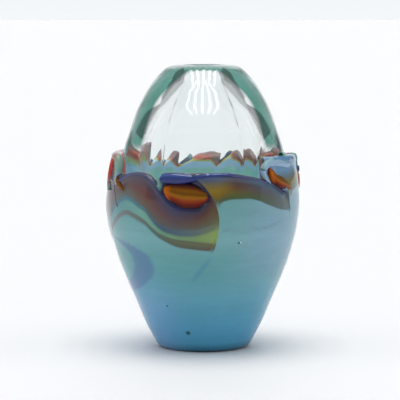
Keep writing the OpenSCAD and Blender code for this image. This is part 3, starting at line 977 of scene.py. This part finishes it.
# Places where the thin tail of a lip has its stations, and two more where the sheet is torn back
TAIL_PLACES = (0.14, 0.3, 0.5, 0.7, 0.85, 1.0, 1.15, 1.3, 1.46, 1.6, 1.7)
TORN_PLACES = (-0.3, -0.12)
HIDDEN_DROP = 4.6

# Painted highlight along the upper side of a cobalt roll
ROLL_PAINTED_HIGHLIGHT = shade(90, 130, 190)
ROLL_UNDER = shade(58, 18, 30)
# The thin lip's violet-grey: its own colour with a painted sheen on its rounded face
TAIL_SIDE = shade(70, 78, 118)
TAIL_TOP = shade(44, 52, 66)
TAIL_END = shade(24, 36, 84)
TAIL_START = shade(52, 66, 120)


def roll_stations(k):
    """Stations of the thick roll that starts a lip."""
    wave = WAVES[k]
    width = edge_of(k) - start_of(k)
    points = []
    for place, z, half_height, half_depth in wave.roll:
        if k >= FIRST_HIDDEN:
            z = crown(start_of(k) + max(place, 0.05) * width) - half_height - HIDDEN_DROP
        stands = mix(1.7, 0.8, ease(place - 0.2))
        points.append((start_of(k) + place * width, z, half_height, half_depth,
                       CUP_RADIUS(z) - half_depth + stands))
    return points


def tail_stations(k, places):
    """Stations of the thin lip behind the roll, flush with the sheet where it dives under."""
    points = []
    for place in places:
        a = azimuth_on(k, place)
        z = line(k, "lip", a)
        under = ease((place - 0.85) / 0.3)
        half_height = mix(1.15, 1.5, under)
        half_depth = mix(2.1, 0.9, under)
        stands = mix(0.45, 0.1, under) + 0.5 * hump(place, 0.25)
        points.append((a, z, half_height, half_depth, CUP_RADIUS(z) - half_depth + stands))
    return points


def lip_roll(k):
    """Rolled lip of a wave; the left one has only the thin tail, because its sheet is torn."""
    wave = WAVES[k]
    if wave.roll is LOOP_ROLL:
        rolled = []
        tail = tail_stations(k, TORN_PLACES + TAIL_PLACES)
    else:
        rolled = roll_stations(k)
        tail = tail_stations(k, TAIL_PLACES)
    roll_share = len(rolled) / (len(rolled) + len(TAIL_PLACES))

    def colour(along, around):
        up = math.sin(math.tau * around)
        if along < roll_share * 1.15:
            # Painted shade: the lower half of the roll darkens toward navy
            tone = wave.colour.lerp(NAVY, 0.45 * ease(-up))
            if wave.colour is PALE_BLUE:
                tone = PALE_BLUE.lerp(MINT, 0.6 * ease(up))
            if wave.colour is COBALT:
                # Painted highlight: a lighter blue band along the roll's upper side
                tone = tone.lerp(ROLL_PAINTED_HIGHLIGHT, 0.5 * hump(up - 0.55, 0.18))
                tone = tone.lerp(ROLL_UNDER, 0.7 * ease((-up - 0.75) / 0.25))
        else:
            # Thin lip: dark along its top, violet-grey below, which carries a painted sheen
            tone = TAIL_SIDE.lerp(TAIL_TOP, ease((up - 0.45) / 0.4))
            tone = tone.lerp(TAIL_END, ease((along - 0.62) / 0.2))
        if roll_share * 0.9 < along < roll_share * 1.5:
            blend = ease((along - roll_share * 0.9) / (roll_share * 0.6))
            late = TAIL_START.lerp(TAIL_TOP, ease((up - 0.5) / 0.4))
            tone = tone.lerp(late, blend * (1 - blend) * 2)
        return tone

    return tube(wave.name + "_lip", smoothed(rolled + tail, 5), colour, ROLL_GLASS,
                [wave.name + "_lip"])


# ---------------------------------------------------------------- turned-over folds

FOLD_ACROSS = 22
FOLD_ALONG = 40
FOLD_BULGE = 1.9
FOLD_THICKNESS = 1.6
FOLD_DROP = 6.0
FOLD_GLOW = shade(188, 92, 4)
FOLD_END = shade(26, 20, 50)
# Colours across a fold, from its lower edge to its upper edge
AMBER = stops((0.0, 20, 8, 30), (0.07, 64, 12, 10), (0.2, 92, 16, 4), (0.34, 138, 48, 5),
              (0.48, 150, 96, 14), (0.62, 96, 62, 6), (0.75, 124, 76, 6), (0.88, 80, 34, 4),
              (0.95, 58, 10, 8), (1.0, 20, 12, 36))


def turned_fold(k):
    """Cushion of amber glass that shows under a roll where the lip was folded over."""
    wave = WAVES[k]
    width = edge_of(k) - start_of(k)
    low = curve([(p[0], p[1]) for p in wave.fold])
    high = curve([(p[0], p[2]) for p in wave.fold])
    first = wave.fold[0][0]
    last = wave.fold[-1][0]
    hangs_from = FOLD_TOP["wide" if wave.fold is WIDE_FOLD else "leaning"]
    drop = 0.0
    if k >= FIRST_HIDDEN:
        drop = crown(start_of(k) + 0.4 * width) - hangs_from - FOLD_DROP
    mesh = bmesh.new()
    bmesh.ops.create_grid(mesh, x_segments=FOLD_ALONG, y_segments=FOLD_ACROSS, size=0.5)
    u_layer = mesh.verts.layers.float.new("u")
    v_layer = mesh.verts.layers.float.new("v")
    for corner in mesh.verts:
        u = corner.co.x + 0.5
        v = corner.co.y + 0.5
        corner[u_layer] = u
        corner[v_layer] = v
        place = mix(first, last, u)
        z = mix(low(place), high(place), v) + drop
        a = start_of(k) + place * width
        bulge = (1.0 - (2.0 * v - 1.0) ** 2) * math.sin(math.pi * clamp(0.22 + 0.77 * u))
        corner.co = polar(CUP_RADIUS(z) - 0.5 + FOLD_BULGE * bulge ** 0.6, a, z)
    back = bmesh.ops.extrude_face_region(mesh, geom=list(mesh.faces))["geom"]
    for item in back:
        if isinstance(item, bmesh.types.BMVert):
            out = Vector((item.co.x, item.co.y, 0.0)).normalized()
            item.co -= out * FOLD_THICKNESS * MM

    def colours(face):
        result = []
        for v in face.verts:
            u, across = v[u_layer], v[v_layer]
            bow = across + 0.10 * math.sin(2.4 * u + 0.5) - 0.06
            tone = ramp(AMBER, clamp(bow))
            near_start = ease((0.2 - u) / 0.16) * ease((0.97 - across) / 0.2)
            tone = tone.lerp(FOLD_GLOW, 0.8 * near_start)
            result.append(tone.lerp(FOLD_END, ease((u - 0.9) / 0.1)))
        return result

    mesh.normal_update()
    paint(mesh, colours)
    return finished(wave.name + "_fold", mesh, FOLD_GLASS, [wave.name + "_fold"])


# ---------------------------------------------------------------- scrolls

SPIRAL_STEPS = 26
SPIRAL_TURNS = 1.35
SCROLL_STEPS = 12
SCROLL_DROP = 9.0
LOOP_STANDS = 1.5


def scroll_outline(size):
    """Closed outline of a rolled-up sheet: outer side out and inner side back."""
    outer = []
    inner = []
    for i in range(SPIRAL_STEPS + 1):
        s = i / SPIRAL_STEPS
        angle = math.radians(200.0) + math.tau * SPIRAL_TURNS * s
        r = size * mix(1.0, 0.42, s)
        outer.append((r * math.cos(angle), r * math.sin(angle)))
        r_in = max(0.1, r - 0.31 * size)
        inner.append((r_in * math.cos(angle), r_in * math.sin(angle)))
    return outer + inner[::-1]


def scroll(k):
    """Tight spiral of rolled glass on a lip; its open end shows the turns. The front one stands
    upright in the crevice between two waves."""
    wave = WAVES[k]
    upright = wave.name == "front"
    share = 0.0 if upright else 0.2
    if wave.roll is HIGH_ROLL:
        share = 0.8
    begin = start_of(k) + share * (edge_of(k) - start_of(k))
    largest = 2.0 if upright else 2.4
    lift = -SCROLL_DROP if k >= FIRST_HIDDEN else 0.4
    mesh = bmesh.new()
    side = mesh.verts.layers.float.new("side")

    def set_ring(verts, i):
        t = i / SCROLL_STEPS
        size = mix(largest, 0.8, ease(t))
        if upright:
            size *= min(1.0, 0.3 + 5.0 * t)
        for j, (v, (x, y)) in enumerate(zip(verts, scroll_outline(size))):
            if upright:
                z = mix(94.2, 84.0, t)
                v.co = polar(CUP_RADIUS(z) - 2.0 + x, begin + math.degrees(y / CUP_RADIUS(z)), z)
            else:
                a = begin + 13.0 * t
                z = crown(a) + mix(1.4, -0.4, ease(t)) + lift
                v.co = polar(CUP_RADIUS(z) - 1.6 + x, a, z + y)
            v[side] = 1.0 if j > SPIRAL_STEPS else 0.0

    caps = swept(mesh, len(scroll_outline(1.0)), SCROLL_STEPS, set_ring)
    bmesh.ops.triangulate(mesh, faces=caps)
    mesh.normal_update()
    outer_tone = wave.colour.lerp(MINT, 0.75)
    paint(mesh, lambda face: [outer_tone.lerp(GREEN, v[side]) for v in face.verts])
    return finished(wave.name + "_curl", mesh, ROLL_GLASS, [wave.name + "_curl"])


def upright_loop(k):
    """The left curl: a trail looped up over the torn end of the sheet, red outside."""
    wave = WAVES[k]
    width = edge_of(k) - start_of(k)
    points = [(start_of(k) + place * width, z, half_height, half_depth,
               CUP_RADIUS(z) - half_depth + LOOP_STANDS)
              for place, z, half_height, half_depth in wave.roll]

    def colour(along, around):
        outer = math.cos(math.tau * around)
        tone = MINT.lerp(PALE_BLUE, ease((0.25 - along) / 0.2))
        stripe = hump(along - 0.62, 0.22) * ease((outer + 0.35) / 0.5)
        return tone.lerp(RED, clamp(1.25 * stripe))

    return tube(wave.name + "_curl", smoothed(points, 6), colour, ROLL_GLASS,
                [wave.name + "_curl"])


# ---------------------------------------------------------------- studio

FLOOR_RADIUS = 40.0
FLOOR_COLOUR = (0.925, 0.93, 0.935, 1.0)
FLOOR_GAP = 0.00005
TENT_COLOUR = (0.98, 0.985, 1.0, 1.0)
BACKDROP_HIGH = (0.88, 0.92, 0.955, 1.0)
# Cloths of the tent: azimuths in degrees from straight behind, and the height as a sine
BACK_CLOTH_HALF = 26.0
SIDE_CLOTH_FROM = 72.0
TOP_CLOTH_EDGE = 0.62
CLOTH_SOFT = 3.0
BACK_LIGHT = 1.0
SIDE_LIGHT = 0.9
ROOM_LIGHT = 0.5
GAP_LIGHT = 0.3
TOP_LIGHT = 0.5
# Overhead tubes, on a ceiling one unit up: strength, distance between them, width, half length
TUBE_LIGHT = 10.0
TUBE_SPACING = 0.14
TUBE_WIDTH = 0.05
TUBE_REACH = 0.33
TUBE_HALF_COUNT = 2.5
TUBE_SOFT = 0.008


def floor():
    mesh = bmesh.new()
    bmesh.ops.create_circle(mesh, cap_ends=True, segments=96, radius=FLOOR_RADIUS)
    data = bpy.data.meshes.new("floor")
    mesh.to_mesh(data)
    mesh.free()
    material, tree, shader = new_material("white_table")
    shader.inputs["Base Color"].default_value = FLOOR_COLOUR
    shader.inputs["Roughness"].default_value = 0.6
    shader.inputs["Specular IOR Level"].default_value = 0.15
    data.materials.append(material)
    table = bpy.data.objects.new("floor", data)
    table.location.z = cad_low.z - FLOOR_GAP
    bpy.context.scene.collection.objects.link(table)


def overhead_tubes(tree, x, y, z):
    """Strength of a row of lamp tubes that run from front to back over the vase."""
    height = math_node(tree, "MAXIMUM", z, 0.01)
    aside = math_node(tree, "DIVIDE", x, height)
    along = math_node(tree, "ABSOLUTE", math_node(tree, "DIVIDE", y, height))
    shifted = math_node(tree, "ADD", aside, 10.0 * TUBE_SPACING)
    nearest = math_node(tree, "PINGPONG", shifted, TUBE_SPACING / 2.0)
    tubes = soft_step(tree, nearest, TUBE_WIDTH / 2.0 + TUBE_SOFT, TUBE_WIDTH / 2.0 - TUBE_SOFT)
    row_half = TUBE_HALF_COUNT * TUBE_SPACING
    in_row = soft_step(tree, math_node(tree, "ABSOLUTE", aside), row_half + 0.01, row_half - 0.01)
    in_length = soft_step(tree, along, TUBE_REACH + 0.03, TUBE_REACH - 0.03)
    within = math_node(tree, "MULTIPLY", in_length, in_row)
    lamp = math_node(tree, "MULTIPLY", math_node(tree, "MULTIPLY", tubes, within), TUBE_LIGHT)
    return math_node(tree, "MULTIPLY", lamp, math_node(tree, "GREATER_THAN", z, 0.3))


def cloths(tree, x, y, z):
    """Strength of the tent: a bright cloth behind, one on each side, one above, dim gaps."""
    squares = math_node(tree, "ADD", math_node(tree, "MULTIPLY", x, x),
                        math_node(tree, "MULTIPLY", y, y))
    level = math_node(tree, "POWER", squares, 0.5)
    sideways = math_node(tree, "DIVIDE", math_node(tree, "ABSOLUTE", x), level)
    backward = math_node(tree, "DIVIDE", y, level)
    behind = soft_step(tree, backward, math.cos(math.radians(BACK_CLOTH_HALF + CLOTH_SOFT)),
                       math.cos(math.radians(BACK_CLOTH_HALF - CLOTH_SOFT)))
    beside = soft_step(tree, sideways, math.sin(math.radians(SIDE_CLOTH_FROM - CLOTH_SOFT)),
                       math.sin(math.radians(SIDE_CLOTH_FROM + CLOTH_SOFT)))
    above = soft_step(tree, z, TOP_CLOTH_EDGE - 0.06, TOP_CLOTH_EDGE + 0.06)
    in_front = soft_step(tree, y, 0.1, -0.1)
    strength = math_node(tree, "MULTIPLY_ADD", in_front, ROOM_LIGHT - GAP_LIGHT, GAP_LIGHT)
    for cloth, light in ((beside, SIDE_LIGHT), (behind, BACK_LIGHT), (above, TOP_LIGHT)):
        strength = math_node(tree, "MAXIMUM", strength, math_node(tree, "MULTIPLY", cloth, light))
    return strength


def light_tent():
    """World light. The camera itself sees plain white, faintly blue-grey higher up."""
    world = bpy.data.worlds.new("light_tent")
    bpy.context.scene.world = world
    world.use_nodes = True
    tree = world.node_tree
    tree.nodes.clear()
    parts = tree.nodes.new("ShaderNodeSeparateXYZ")
    tree.links.new(tree.nodes.new("ShaderNodeTexCoord").outputs["Generated"], parts.inputs[0])
    x, y, z = parts.outputs
    tent = tree.nodes.new("ShaderNodeBackground")
    tent.inputs["Color"].default_value = TENT_COLOUR
    strength = math_node(tree, "ADD", cloths(tree, x, y, z), overhead_tubes(tree, x, y, z))
    tree.links.new(strength, tent.inputs["Strength"])
    backdrop = tree.nodes.new("ShaderNodeBackground")
    tone = mixed_colour(tree, soft_step(tree, z, -0.05, 0.02), WHITE, BACKDROP_HIGH)
    tree.links.new(tone, backdrop.inputs["Color"])
    rays = tree.nodes.new("ShaderNodeLightPath")
    chosen = tree.nodes.new("ShaderNodeMixShader")
    tree.links.new(rays.outputs["Is Camera Ray"], chosen.inputs[0])
    tree.links.new(tent.outputs[0], chosen.inputs[1])
    tree.links.new(backdrop.outputs[0], chosen.inputs[2])
    out = tree.nodes.new("ShaderNodeOutputWorld")
    tree.links.new(chosen.outputs[0], out.inputs["Surface"])


EYE = Vector((-1.9, -1060.0, 178.0))
AIM = Vector((-1.9, 0.0, 78.0))


def camera():
    """Long lens a metre away, a little above the rim, looking slightly down."""
    data = bpy.data.cameras.new("camera")
    data.sensor_width = 36.0
    data.lens = 180.0
    data.clip_start = 0.05
    data.clip_end = 100.0
    viewer = bpy.data.objects.new("camera", data)
    bpy.context.scene.collection.objects.link(viewer)
    viewer.location = EYE * MM
    viewer.rotation_euler = (AIM - EYE).to_track_quat("-Z", "Y").to_euler()
    bpy.context.scene.camera = viewer


def picture_settings():
    scene = bpy.context.scene
    scene.view_settings.view_transform = "Standard"
    scene.view_settings.look = "None"
    scene.cycles.max_bounces = 24
    scene.cycles.transmission_bounces = 24
    scene.cycles.glossy_bounces = 8
    scene.cycles.diffuse_bounces = 4
    scene.cycles.sample_clamp_indirect = 6.0
    scene.cycles.blur_glossy = 0.3


# ---------------------------------------------------------------- the whole vase

camera()
floor()
light_tent()
picture_settings()
clear_bubble()
overlay_skin()
for number in range(COUNT):
    lip_roll(number)
    turned_fold(number)
    if WAVES[number].roll is LOOP_ROLL:
        upright_loop(number)
    else:
        scroll(number)
